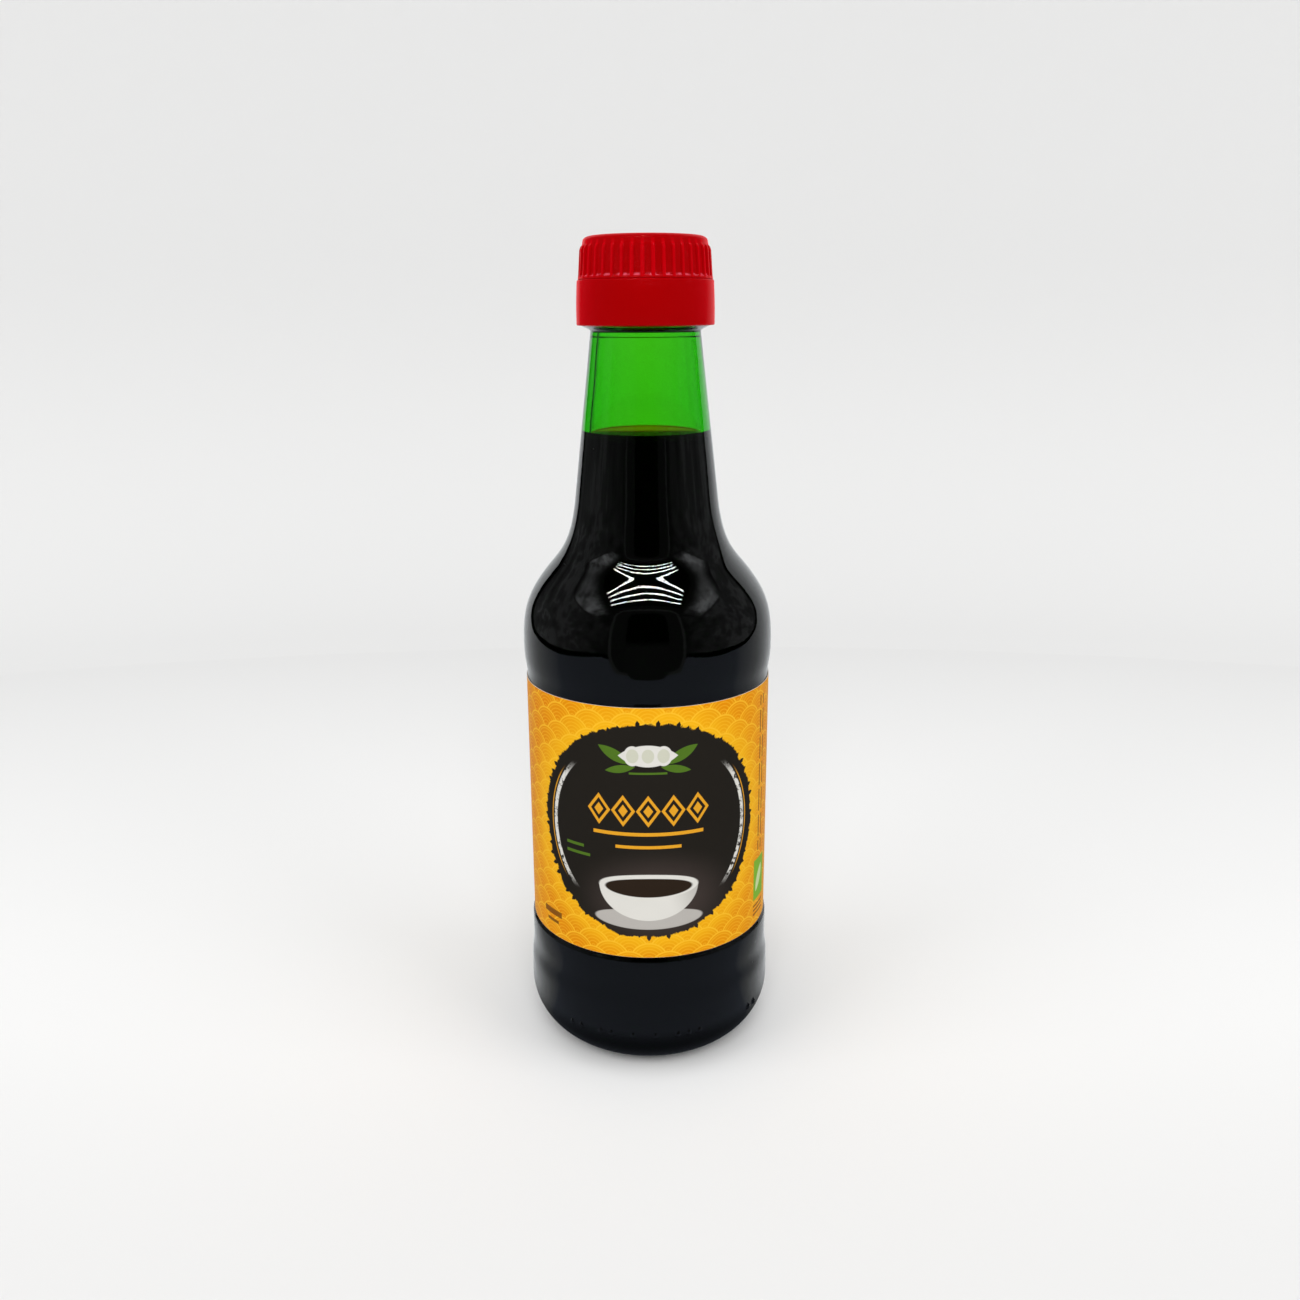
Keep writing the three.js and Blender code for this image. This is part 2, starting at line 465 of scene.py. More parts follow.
# %% Green glass
def green_glass():
    finish = Finish("green_glass")
    here, (x, y, z) = finish.place()
    swim = finish.noise(here, 48.0, 1.0)
    drawn_out = finish.node("ShaderNodeMapping", None, {"Vector": here, "Scale": (1.0, 1.0, 0.08)})
    streaks = finish.noise(drawn_out, 210.0, 1.0)
    cells = finish.node("ShaderNodeTexVoronoi", None, {"Vector": here, "Scale": 300.0}, "Distance")
    chance = finish.noise(here, 260.0, 0.0)
    specks = finish.rise(cells, 0.06, 0.02) * finish.rise(chance, 0.58, 0.62)
    shader = finish.node("ShaderNodeBsdfPrincipled", None, {
        "Base Color": (1.0, 1.0, 1.0, 1.0),
        "Roughness": specks * 0.35 + 0.014,
        "IOR": 1.52,
        "Specular IOR Level": 0.14,
        "Transmission Weight": 1.0,
        "Normal": finish.bump(swim + streaks * 0.12, 0.35, 0.0006),
    })
    loss = finish.node("ShaderNodeVolumeAbsorption", None, {
        "Color": (0.362, 0.890, 0.0, 1.0),
        "Density": 1264.0,
    })
    return finish.done(Surface=shader, Volume=loss)


put_in_place(glass, green_glass(), "bottle")

# %% [markdown]
# ## The sauce
#
# Soy sauce wets glass, so it lies against the wall with nothing between, and creeps up it a
# little at its edge. A gap of air there would turn the whole side into a mirror. The fill
# therefore reaches a hair into the wall, where the glass's own inner surface is hidden.
# In depth the sauce lets nothing through, so its side is nearly black, but for a painted
# amber edge near its top. Its top is painted glow, standing in for the light that shines
# through the thin sauce: dark in front, olive in its far half with a thin red line between,
# and amber to green where it creeps up the wall.

# %% Sauce
sauce_level = 146.75
creep = 0.32
creep_width = 1.5
creep_steps = 10
into_wall = 0.06


def sauce_line():
    wall = cavity(into_wall, sauce_level + creep, 16)
    edge = wall[-1]
    rim = []
    for step in range(1, creep_steps + 1):
        share = step / creep_steps
        fall = creep * (1 - share) ** 2.6
        rim.append(point(edge.x - creep_width * share, sauce_level + fall))
    return [*wall, *rim, point(0, sauce_level)]


def soy_sauce_side():
    finish = Finish("soy_sauce_side")
    here, (x, y, z) = finish.place()
    shade = finish.noise(here, 160.0, 2.0)
    dark = finish.blend(shade, (0.0035, 0.0016, 0.0012, 1), (0.006, 0.0028, 0.0016, 1))
    amber = (0.045, 0.014, 0.003, 1)
    # Painted light: the side turns amber near its top, standing in for light let through where the
    # sauce is thin.
    thin = finish.rise(z, sauce_level - 1.4, sauce_level + creep)
    shader = finish.node("ShaderNodeBsdfPrincipled", None, {
        "Base Color": finish.blend(thin * 0.8, dark, amber),
        "Roughness": 0.4,
        "Specular IOR Level": 0.0,
    })
    return finish.done(Surface=shader)


def soy_sauce_top():
    """Painted glow: the still surface from front to back, and its rim from foot to top, each as a
    ramp.
    """
    finish = Finish("soy_sauce_top")
    here, (x, y, z) = finish.place()
    ripple = finish.noise(here, 300.0, 1.0)
    climb = (z - sauce_level) / creep
    still = finish.ramp(y / 25 + 0.5, [
        (0.0, (0.03, 0.0, 0.0, 1)),
        (0.46, (0.04, 0.0, 0.0, 1)),
        (0.52, (0.2, 0.0, 0.0, 1)),
        (0.6, (0.34, 0.15, 0.0, 1)),
        (1.0, (0.38, 0.2, 0.0, 1)),
    ])
    rim = finish.ramp(climb, [
        (0.0, (0.16, 0.0, 0.0, 1)),
        (0.2, (0.24, 0.02, 0.0, 1)),
        (0.4, (0.26, 0.14, 0.0, 1)),
        (0.7, (0.2, 0.4, 0.02, 1)),
        (1.0, (0.17, 0.5, 0.05, 1)),
    ])
    shader = finish.node("ShaderNodeBsdfPrincipled", None, {
        "Base Color": (0.012, 0.007, 0.003, 1),
        "Roughness": 0.02,
        "Specular IOR Level": 0.0006,
        # Painted glow: this emission stands in for light shining through the thin sauce and the
        # glass.
        "Emission Color": finish.blend(finish.rise(climb, 0.02, 0.14), still, rim),
        "Emission Strength": 1.0,
        "Normal": finish.bump(ripple, 0.05, 0.0003),
    })
    return finish.done(Surface=shader)


sauce = object_from(turned(sauce_line(), 128), "soy_sauce_fill", 60)
put_in_place(sauce, soy_sauce_side(), "soy_sauce")
sauce.data.materials.append(soy_sauce_top())
for face in sauce.data.polygons:
    if face.normal.z > 0.02 and face.center.z > (sauce_level - 0.01) * mm:
        face.material_index = 1

# %% [markdown]
# ## The label
#
# A wrap-round label is one strip of paper, glued on by a machine that lays its end over its
# start. It is made the same way: an upright edge is spun a little more than once round, the
# last stretch is lifted over the first, and the sheet gets its thickness.

# %% Label sheet
label_radius = 28.27
label_paper = 0.15
label_bottom = 31.5
label_top = 91.3
overlap = 9.0
lift = 0.18
lift_length = 2.0


def label_sheet():
    shape = bmesh.new()
    half = overlap / 2 / label_radius
    start = math.pi / 2 - half
    whole = 2 * math.pi + 2 * half
    ends = []
    for height in (label_bottom, label_top):
        corner = Vector((label_radius * math.cos(start), label_radius * math.sin(start), height))
        ends.append(shape.verts.new(corner * mm))
    edge = shape.edges.new(ends)
    steps = 210
    bmesh.ops.spin(
        shape, geom=[*ends, edge], cent=(0, 0, 0), axis=(0, 0, 1),
        angle=whole, steps=steps, use_merge=False)
    shape.verts.ensure_lookup_table()
    lift_over = lift_length / label_radius
    for index, vert in enumerate(shape.verts):
        step = index // 2
        turn = whole * step / steps
        past = (turn - (2 * math.pi - lift_over)) / lift_over
        share = min(max(past, 0), 1)
        grown = 1 + lift / label_radius * share * share * (3 - 2 * share)
        vert.co.x *= grown
        vert.co.y *= grown
    bmesh.ops.recalc_face_normals(shape, faces=shape.faces)
    first = next(iter(shape.faces))
    if first.normal.dot(first.calc_center_median() * Vector((1, 1, 0))) < 0:
        bmesh.ops.reverse_faces(shape, faces=shape.faces)
    bmesh.ops.solidify(shape, geom=list(shape.faces), thickness=-label_paper * mm)
    bmesh.ops.recalc_face_normals(shape, faces=shape.faces)
    return shape


label = object_from(label_sheet(), "paper_label", 30)

# %% [markdown]
# ## The label's print
#
# The print is drawn flat, as a printer would: u is the way round the bottle from the middle
# of the front and v the height, both in millimetres. Each motif is a mask made from the
# distance to its edge. The ground is orange, with overlapping fine rings, an old wave
# pattern, tone on tone. On it lies a charcoal disc with a rough brushed rim, and on the disc
# a pod with leaves, a gold row of lozenges with two plain rules, and a bowl of sauce. Thin
# plain bars fill in the rest, so nothing here can be read.

# %% Flat drawing tools
class Drawing(Finish):
    """A finish that is drawn in millimetres on the unrolled label."""

    def __init__(self, name, radius):
        super().__init__(name)
        self.here, (x, y, z) = self.place()
        around = self.node("ShaderNodeMath", {"operation": "ARCTAN2"}, {0: x, 1: y * -1})
        self.u = around * radius
        self.v = z

    def length(self, across, up):
        return self.node("ShaderNodeMath", {"operation": "SQRT"}, {0: across * across + up * up})

    def spot(self, u, v, wide=1.0, high=1.0):
        """The distance from a centre, measured in a stretched frame."""
        return self.length((self.u - u) / wide, (self.v - v) / high)

    def turned_to(self, u, v, angle):
        """Across and along a line that leans at an angle through a centre."""
        lean = math.radians(angle)
        right = self.u - u
        up = self.v - v
        along = right * math.cos(lean) + up * math.sin(lean)
        across = up * math.cos(lean) - right * math.sin(lean)
        return along, across

    def disc(self, u, v, wide, high, soft=0.08):
        """A filled ellipse."""
        return self.rise(self.spot(u, v, wide, high), 1 + soft / high, 1 - soft / high)

    def bar(self, u, v, half_wide, half_high, soft=0.05):
        """A filled upright rectangle."""
        side = self.rise(abs(self.u - u), half_wide + soft, half_wide - soft)
        return side * self.rise(abs(self.v - v), half_high + soft, half_high - soft)

    def leaf(self, u, v, angle, long, wide, soft=0.06):
        """A pointed leaf: where two large circles overlap."""
        along, across = self.turned_to(u, v, angle)
        bend = (long * long - wide * wide) / (2 * wide)
        radius = bend + wide
        one = self.length(along, across + bend)
        other = self.length(along, across - bend)
        return self.rise(one | other, radius + soft, radius - soft)

    def repeat(self, value, period):
        """Where a value stands within a repeat, from minus half a period to plus half."""
        ends = {0: value, 1: period / 2, 2: -period / 2}
        return self.node("ShaderNodeMath", {"operation": "WRAP"}, ends)


# %% [markdown]
# The ground's waves are rows of like circles, each row half a circle to the side of the one
# above it and lying over it. For each point, the rows near it are tried from the lowest up,
# and the first circle that covers the point gives its rings.

# %% Waves of fine rings
wave = 8.8
ring_pitch = 0.8


def wave_rings(draw):
    """The distance from the centre of the circle that lies on top."""
    radius = wave / 2
    row_step = wave / 4
    row = draw.node("ShaderNodeMath", {"operation": "FLOOR"}, {0: draw.v / row_step})
    result = None
    for lift in (2, 1, 0, -1):
        this_row = row + lift
        shift = draw.node("ShaderNodeMath", {"operation": "PINGPONG"}, {0: this_row, 1: 1.0}) * radius
        across = draw.repeat(draw.u - shift, wave)
        up = draw.v - this_row * row_step
        reach = draw.length(across, up)
        if result is None:
            result = reach
        else:
            covers = reach < radius
            result = result * (1 - covers) + reach * covers
    return result


# %% [markdown]
# The masks are laid over each other from the ground up, each with its own ink. Each function
# below takes the colour so far and returns it with its own part laid on top.

# %% Inks
orange = paint(218, 134, 2)
deep_orange = paint(211, 119, 0)
pale_line = paint(234, 180, 42)
glow = paint(231, 173, 22)
charcoal = paint(33, 30, 26)
brown_glow = paint(64, 55, 52)
cream = paint(208, 206, 200)
pale_bean = paint(175, 178, 150)
china_shade = paint(150, 146, 142)
saucer_grey = paint(172, 168, 163)
sauce_ink = paint(42, 32, 24)
gold = paint(214, 151, 38)
leaf_green = paint(75, 107, 33)
block_green = paint(118, 170, 46)
sprig_green = paint(191, 207, 151)
small_print = paint(100, 55, 15)
panel_cream = paint(224, 198, 132)
white_paper = paint(214, 210, 201)

# %% Ground and disc
disc_v = 62.1
disc_radius = 26.3
tick_count = 72


def ground(draw, from_disc):
    """Orange with waves tone on tone, paler near the disc."""
    tone = draw.noise(draw.here, 45.0, 2.0)
    colour = draw.blend(draw.rise(tone, 0.35, 0.68), orange, deep_orange)
    reach = wave_rings(draw)
    swell = draw.rise(reach, 0.5, wave / 2)
    near = draw.rise(from_disc, 35.0, 26.0)
    colour = draw.blend(near * 0.7 + swell * 0.22, colour, glow)
    rings = abs(draw.repeat(reach + ring_pitch / 2, ring_pitch))
    edge_line = draw.rise(reach, wave / 2 - 0.42, wave / 2 - 0.3)
    line = draw.rise(rings, 0.2, 0.08) * 0.42 | edge_line * 0.8
    return draw.blend(line, colour, pale_line)


def ticks(draw, from_disc):
    """Short strokes that stand out all round the disc, each as long as chance has it."""
    angle = draw.node("ShaderNodeMath", {"operation": "ARCTAN2"}, {0: draw.v - disc_v, 1: draw.u})
    number = angle * (tick_count / (2 * math.pi)) + 0.5
    number = draw.node("ShaderNodeMath", {"operation": "FLOOR"}, {0: number})
    chance = draw.node("ShaderNodeTexWhiteNoise", {"noise_dimensions": "1D"}, {"W": number}, "Value")
    reach = chance * 1.1 + disc_radius + 0.1
    width = (reach - from_disc) * 0.7 & 0.5
    beside = abs(draw.repeat(angle, 2 * math.pi / tick_count)) * from_disc
    return draw.rise(width - beside, -0.09, 0.09)


def disc_with_strokes(draw, colour, from_disc):
    """A charcoal disc with a brushed rim, and a cream and a thin gold stroke at each side."""
    brush = draw.noise(draw.here, 700.0, 3.0, 0.7)
    wander = draw.noise(draw.here, 190.0, 2.0, 0.6)
    rim = from_disc + (brush - 0.5) * 1.5 + (wander - 0.5) * 2.2
    disc = draw.rise(rim, disc_radius + 0.25, disc_radius - 0.15) | ticks(draw, from_disc)
    colour = draw.blend(disc, colour, charcoal)
    inner_glow = draw.rise(draw.spot(2, 46, 1.25, 0.8), 17.0, 4.0) * disc
    colour = draw.blend(inner_glow * 0.9, colour, brown_glow)
    from_middle = abs(draw.v - disc_v)
    dry = draw.rise(brush, 0.36, 0.52)
    broad = draw.rise(abs(from_disc - 23.0), 0.62, 0.42) * draw.rise(from_middle, 15.5, 11.0) * dry
    colour = draw.blend(broad, colour, cream)
    thin = draw.rise(abs(from_disc - 24.1), 0.2, 0.1) * draw.rise(from_middle, 14.0, 9.0)
    return draw.blend(thin * 0.85, colour, gold)


# %% Pod, lozenges and bowl
pod_v = 80.3
bean_places = (-3.4, 0, 3.4)
row_v = 67.4
bowl_v = 49.2


def pod_with_leaves(draw, colour):
    """Three beans in a pod, two leaves at each side and a rule under them."""
    leaves = draw.leaf(-7.4, 80.4, 152, 4.2, 1.25) | draw.leaf(7.4, 80.4, 28, 4.2, 1.25)
    leaves = leaves | draw.leaf(-6.2, 77.2, 190, 3.4, 0.9) | draw.leaf(6.2, 77.2, -10, 3.4, 0.9)
    colour = draw.blend(leaves, colour, leaf_green)
    pod = draw.leaf(0, pod_v, 0, 6.6, 2.5)
    for place in bean_places:
        pod = pod | draw.disc(place, pod_v, 1.9, 2.3)
    colour = draw.blend(pod, colour, cream)
    for place in bean_places:
        seen = draw.disc(place, pod_v, 1.35, 1.6)
        colour = draw.blend(seen * 0.55, colour, pale_bean)
    return draw.blend(draw.bar(0, 76.3, 4.2, 0.24), colour, leaf_green)


def lozenges(draw, colour):
    """A gold row of lozenges with two plain rules under it."""
    form = abs(draw.repeat(draw.u, 5.6)) / 2.75 + abs(draw.v - row_v) / 3.8
    row = draw.rise(abs(form - 0.84), 0.17, 0.12) | draw.rise(form, 0.42, 0.36)
    colour = draw.blend(row * draw.rise(abs(draw.u), 14.0, 13.9), colour, gold)
    rules = draw.bar(0, 61.9, 12.6, 0.42) | draw.bar(0, 58.8, 7.4, 0.38)
    return draw.blend(rules, colour, gold)


def bowl_of_sauce(draw, colour):
    """A bowl of sauce on a saucer, shaded on its right."""
    colour = draw.blend(draw.disc(0, 41.2, 12.5, 2.6), colour, saucer_grey)
    belly = draw.disc(0, bowl_v, 11.4, 8.4) * draw.rise(draw.v, bowl_v + 0.1, bowl_v - 0.1)
    shade = draw.rise(draw.u + (draw.v - 49) * 0.3, 3.0, 12.0)
    china = draw.blend(shade * 0.6, cream, china_shade)
    colour = draw.blend(belly, colour, china)
    colour = draw.blend(draw.disc(0, bowl_v, 11.4, 3.0), colour, cream)
    return draw.blend(draw.disc(0, 48.9, 10.0, 2.3), colour, sauce_ink)


# %% Small print
def small_marks(draw, colour):
    """Green rules, a pair of bars at the lower left, and a column and a block at the right."""
    rules = draw.bar(-17.6, 57.6, 2.4, 0.35) | draw.bar(-16.8, 55.6, 3.2, 0.35)
    colour = draw.blend(rules, colour, leaf_green)
    measure = draw.bar(-26.0, 37.4, 3.4, 0.75) | draw.bar(-26.0, 35.2, 2.2, 0.4)
    colour = draw.blend(measure * 0.85, colour, small_print)
    dashes = draw.rise(abs(draw.repeat(draw.v - 69.5, 6.5)), 2.75, 2.65)
    column = draw.bar(32.2, 69.5, 0.32, 19.2) | draw.bar(33.9, 69.5, 0.32, 19.2)
    colour = draw.blend(column * dashes * 0.75, colour, small_print)
    colour = draw.blend(draw.bar(33.2, 43.0, 3.2, 5.2), colour, block_green)
    colour = draw.blend(draw.leaf(33.0, 43.0, 60, 3.6, 1.3), colour, sprig_green)
    lines = draw.rise(abs(draw.repeat(draw.v - 35.2, 1.1)), 0.3, 0.18)
    return draw.blend(lines * draw.bar(33.0, 35.0, 3.0, 1.6) * 0.8, colour, small_print)


def back_panels(draw, colour):
    """Paler panels towards the back, with lines of small print and a table."""
    panels = draw.bar(58.0, 61.4, 17.5, 27.0) | draw.bar(-60.0, 61.4, 17.5, 27.0)
    colour = draw.blend(panels, colour, panel_cream)
    text_zone = draw.bar(58.0, 61.4, 15.0, 24.5) | draw.bar(-60.0, 70.4, 15.0, 15.5)
    columns = draw.rise(abs(draw.repeat(draw.u - 3.0, 10.4)), 4.75, 4.65)
    lines = draw.rise(abs(draw.repeat(draw.v, 2.4)), 0.42, 0.3) * text_zone * columns
    colour = draw.blend(lines * 0.8, colour, small_print)
    across = draw.rise(abs(draw.repeat(draw.v - 43.4, 4.0)), 0.16, 0.08)
    down = draw.rise(abs(draw.repeat(draw.u + 60.0, 15.0)), 0.16, 0.08)
    return draw.blend((across | down) * draw.bar(-60.0, 43.4, 15.0, 8.0), colour, small_print)


# %% Label finish
def label_print():
    draw = Drawing("label_paper", label_radius + label_paper)
    from_disc = draw.spot(0.2, disc_v, 1.034, 0.97)
    colour = ground(draw, from_disc)
    colour = disc_with_strokes(draw, colour, from_disc)
    colour = pod_with_leaves(draw, colour)
    colour = lozenges(draw, colour)
    colour = bowl_of_sauce(draw, colour)
    colour = small_marks(draw, colour)
    colour = back_panels(draw, colour)
    from_middle = abs(draw.v - (label_bottom + label_top) / 2)
    cut_edge = draw.rise(from_middle, 29.87, 29.895)
    colour = draw.blend(cut_edge, colour, white_paper)
    fibre = draw.noise(draw.here, 2600.0, 2.0, 0.6)
    slack_paper = draw.noise(draw.here, 60.0, 1.0)
    shader = draw.node("ShaderNodeBsdfPrincipled", None, {
        "Base Color": colour,
        "Roughness": fibre * 0.12 + 0.38,
        "Specular IOR Level": 0.03,
        "Normal": draw.bump(fibre * 0.06 + slack_paper * 0.9, 0.25, 0.0002),
    })
    return draw.done(Surface=shader)


put_in_place(label, label_print(), "label")

# %% [markdown]
# ## Collar and cap
#
# The closure is moulded polypropylene. The collar is a plain ring with a soft upper edge.
# The cap has forty grip ribs that stand on a small ledge and fade out below the crown. It
# is spun with twenty steps for each rib, and every point of the skirt is then pushed out by
# how far it lies inside a rib. That keeps the ribs' flanks soft, as a mould's draft does.

# %% Collar
collar_line = [
    point(13.2, 179.1),
    point(13.2, 169.66),
    *arc((14.73, 169.96), (0.3, 0.3), -90, 0, 5),
    point(15.03, 173.0),
    point(14.97, 175.5),
    *arc((14.42, 178.73), (0.4, 0.37), 0, 90, 9),
]
collar = object_from(turned(collar_line, 192, closed=True), "cap_collar", 35)

# %% Cap
rib_count = 40
rib_turn = 2.3
steps_in_a_rib = 20
rib_foot_half = 0.46
rib_flank = 0.26
rib_levels = [
    (179.35, 14.6), (179.75, 14.49), (185.1, 14.13),
    (185.8, 13.88), (186.15, 13.52), (186.9, 13.4),
]
groove_levels = [(179.95, 13.98), (186.1, 13.55), (186.9, 13.4)]
skirt_heights = [
    180.1, 180.35, 180.8, 182, 183.2, 184.4, 184.9,
    185.1, 185.3, 185.5, 185.7, 185.8, 185.92, 186.04, 186.15, 186.4,
]


def between(levels, height):
    """The value at a height, on straight lines between given levels."""
    for (low, first), (high, last) in zip(levels, levels[1:]):
        if height <= high:
            return first + (last - first) * max(height - low, 0) / (high - low)
    return levels[-1][1]


def cap_line():
    return [
        point(0, 186.2),
        point(13.2, 186.2),
        point(13.2, 179.14),
        *arc((14.46, 179.24), (0.12, 0.1), -90, 0, 4),
        point(14.46, 179.62),
        point(14.2, 179.8),
        point(14.03, 179.9),
        point(13.98, 179.97),
        *[point(between(groove_levels, height), height) for height in skirt_heights],
        *arc((11.6, 186.9), (1.8, 1.1), 0, 90, 12),
        point(11.0, 187.98),
        point(6.0, 187.93),
        point(0, 187.93),
    ]


def rib_share(angle, radius):
    """How far a point lies inside a rib: 1 on its top and 0 in the groove."""
    pitch = 2 * math.pi / rib_count
    inside = ((angle - math.radians(rib_turn)) / pitch) % 1 - 0.5
    distance = abs(inside) * pitch * radius
    share = min(max((rib_foot_half - distance) / rib_flank, 0), 1)
    return share * share * (3 - 2 * share)


def push_out_ribs(shape):
    """Moves the skirt's points out to the ribs, and returns each point's share."""
    shares = []
    for vert in shape.verts:
        radius = math.hypot(vert.co.x, vert.co.y) / mm
        height = vert.co.z / mm
        share = 0.0
        if radius > 13.3 and 179.5 < height < 186.9:
            share = rib_share(math.atan2(vert.co.y, vert.co.x), radius)
            target = max(between(rib_levels, height), radius)
            grown = (radius + (target - radius) * share) / radius
            vert.co.x *= grown
            vert.co.y *= grown
        shares.append(share)
    return shares


cap_shape = turned(cap_line(), rib_count * steps_in_a_rib)
rib_shares = push_out_ribs(cap_shape)
cap = object_from(cap_shape, "ribbed_cap", 50)
rib_shares_layer = cap.data.attributes.new("rib", "FLOAT", "POINT")
rib_shares_layer.data.foreach_set("value", rib_shares)

# %% [markdown]
# Moulded plastic is one colour right through. What makes it look real is its skin: satin,
# a little cloudy, smoother where fingers wear the ribs, with a few fine scratches. The rib
# tops are painted a lighter red, a painted highlight, and the ledge at the ribs' feet gets
# painted pink highlights here and there. A red sheen lightens the edges.

# %% Red plastic
def red_plastic(name, has_ribs):
    finish = Finish(name)
    here, (x, y, z) = finish.place()
    cloud = finish.noise(here, 120.0, 3.0)
    grain = finish.noise(here, 2400.0, 2.0, 0.6)
    long_way = finish.node("ShaderNodeMapping", None, {"Vector": here, "Scale": (1.0, 1.0, 6.0)})
    hair = finish.noise(long_way, 420.0, 2.0, 0.7)
    scratch = finish.rise(abs(hair - 0.5), 0.006, 0.0015) * finish.rise(cloud, 0.52, 0.66)
    red = finish.blend(cloud, paint(139, 0, 1), paint(148, 0, 2))
    rib_wear_and_highlight = 0.0
    if has_ribs:
        rib_wear_and_highlight = finish.node("ShaderNodeAttribute", {"attribute_name": "rib"}, None, "Fac")
        # Painted highlight: the rib tops are painted a lighter red; only their lower roughness is
        # wear.
        red = finish.blend(rib_wear_and_highlight * 0.8, red, paint(172, 0, 8))
        # Painted highlight: pink spots on the ledge between the ribs' feet, broken up by noise.
        ledge = finish.rise(z, 179.6, 179.75) * finish.rise(z, 180.3, 180.0)
        ledge = ledge * finish.rise(rib_wear_and_highlight, 0.25, 0.05)
        broken = finish.rise(finish.noise(here, 900.0, 1.0), 0.36, 0.6)
        red = finish.blend(ledge * broken * 0.5, red, paint(232, 104, 130))
    red = finish.blend(scratch * 0.35, red, paint(196, 60, 66))
    shader = finish.node("ShaderNodeBsdfPrincipled", None, {
        "Base Color": red,
        "Roughness": cloud * 0.08 + grain * 0.05 + rib_wear_and_highlight * -0.04 + 0.13,
        "IOR": 1.49,
        "Specular IOR Level": 0.045,
        "Sheen Weight": 1.0,
        "Sheen Roughness": 0.5,
        "Sheen Tint": (1.0, 0.0, 0.012, 1),
        "Normal": finish.bump(grain * 0.5 + cloud, 0.25, 0.00012),
    })
    return finish.done(Surface=shader)


put_in_place(collar, red_plastic("red_collar", False), "collar")
put_in_place(cap, red_plastic("red_cap", True), "cap")

# %% [markdown]
# ## Studio
#
# The bottle stands on white paper that curves up all round like a very wide bowl, so no
# horizon shows from any side, and the glass lets the bowl shine through. Its wall is only
# looked at: it neither shades nor lights the bottle, which keeps the light even. What the glass
# mirrors is another matter, and is drawn as it was at the photo: a nearer sheet of paper with
# dark sides, a dark card round the camera, and a dark lamp head with thin tubes above. Those
# pieces are seen only in reflections. The light comes from large panels and a soft ball that
# are never seen themselves, and from a pale room all round.

# %% Paper bowl
def plain_paper(name):
    """White paper with painted shade: a little greyer in front, where the lights are nearest, and up
    its wall.
    """
    finish = Finish(name)
    here, (x, y, z) = finish.place()
    flat = finish.blend(finish.rise(y, -125.0, 55.0), (0.76, 0.76, 0.76, 1), (0.93, 0.93, 0.93, 1))
    up = finish.rise(z, -40.0, 230.0)
    shader = finish.node("ShaderNodeBsdfPrincipled", None, {
        "Base Color": finish.blend(up, flat, (0.8, 0.8, 0.8, 1)),
        "Roughness": 0.8,
        "Specular IOR Level": 0.0,
    })
    return finish.done(Surface=shader)


bend_radius = 0.42
bend = []
for degrees in range(0, 91, 5):
    turn = math.radians(degrees)
    bend.append(point(bend_radius * math.sin(turn), bend_radius - bend_radius * math.cos(turn)))
bowl_back = 0.34
bowl_reach = 1.24


def paper_piece(name, line):
    shape = turned([spot / mm for spot in line], 96)
    bmesh.ops.translate(shape, verts=shape.verts, vec=(0, bowl_back - bowl_reach, 0))
    made = object_from(shape, name, 60)
    made.data.materials.append(plain_paper(name))
    made.visible_glossy = False
    return made


paper_piece("paper_floor", [point(0, 0), point(bowl_reach, 0)])
foot_of_bend = point(bowl_reach, 0)
rising = [*[spot + foot_of_bend for spot in bend], point(bowl_reach + bend_radius, 1.3)]
wall = paper_piece("paper_wall", rising)
wall.visible_diffuse = False
wall.visible_shadow = False

# %% What the glass mirrors
def glowing(name, colour, strength=1.0):
    """A finish that only gives off light; a function may draw its colour."""
    finish = Finish(name)
    if callable(colour):
        colour = colour(finish)
    shader = finish.node("ShaderNodeBsdfPrincipled", None, {
        "Base Color": (0, 0, 0, 1),
        "Roughness": 1.0,
        "Specular IOR Level": 0.0,
        "Emission Color": colour,
        "Emission Strength": strength,
    })
    finish.material.cycles.emission_sampling = "NONE"
    return finish.done(Surface=shader)


def cool(value):
    """A slightly blue grey."""
    return (value * 0.95, value * 0.98, value, 1)


def only_mirrored(made, material, through=False):
    """Makes a piece of the studio that shows only in reflections, or only through the glass."""
    made.data.materials.append(material)
    made.visible_camera = False
    made.visible_diffuse = False
    made.visible_glossy = not through
    made.visible_transmission = through
    made.visible_volume_scatter = False
    made.visible_shadow = False


def card(name, centre, size, material, tip=90, corner=0.0, turn=0, through=False):
    """A flat card, upright unless it is tipped otherwise."""
    shape = bmesh.new()
    made = bmesh.ops.create_grid(shape, x_segments=1, y_segments=1, size=0.5)
    bmesh.ops.scale(shape, verts=made["verts"], vec=(size[0], size[1], 1))
    if corner:
        bmesh.ops.bevel(
            shape, geom=list(shape.verts), offset=corner, segments=8, profile=0.5,
            affect="VERTICES", material=-1)
    stand = Matrix.Rotation(math.radians(turn), 4, "Z") @ Matrix.Rotation(math.radians(tip), 4, "X")
    bmesh.ops.transform(shape, matrix=Matrix.Translation(centre) @ stand, verts=shape.verts)
    only_mirrored(object_from(shape, name), material, through)


sheet_front = -0.47
near_front = sheet_front + 0.01


def wavy_front(shape):
    """Cuts the sheet's front edge finer and lets it wander, as the edge of real paper does."""
    front = [edge for edge in shape.edges if all(vert.co.y < near_front for vert in edge.verts)]
    bmesh.ops.subdivide_edges(shape, edges=front, cuts=80)
    for vert in shape.verts:
        if vert.co.y < near_front:
            vert.co.y += 0.014 * math.sin(31 * vert.co.x) + 0.009 * math.sin(83 * vert.co.x + 1)


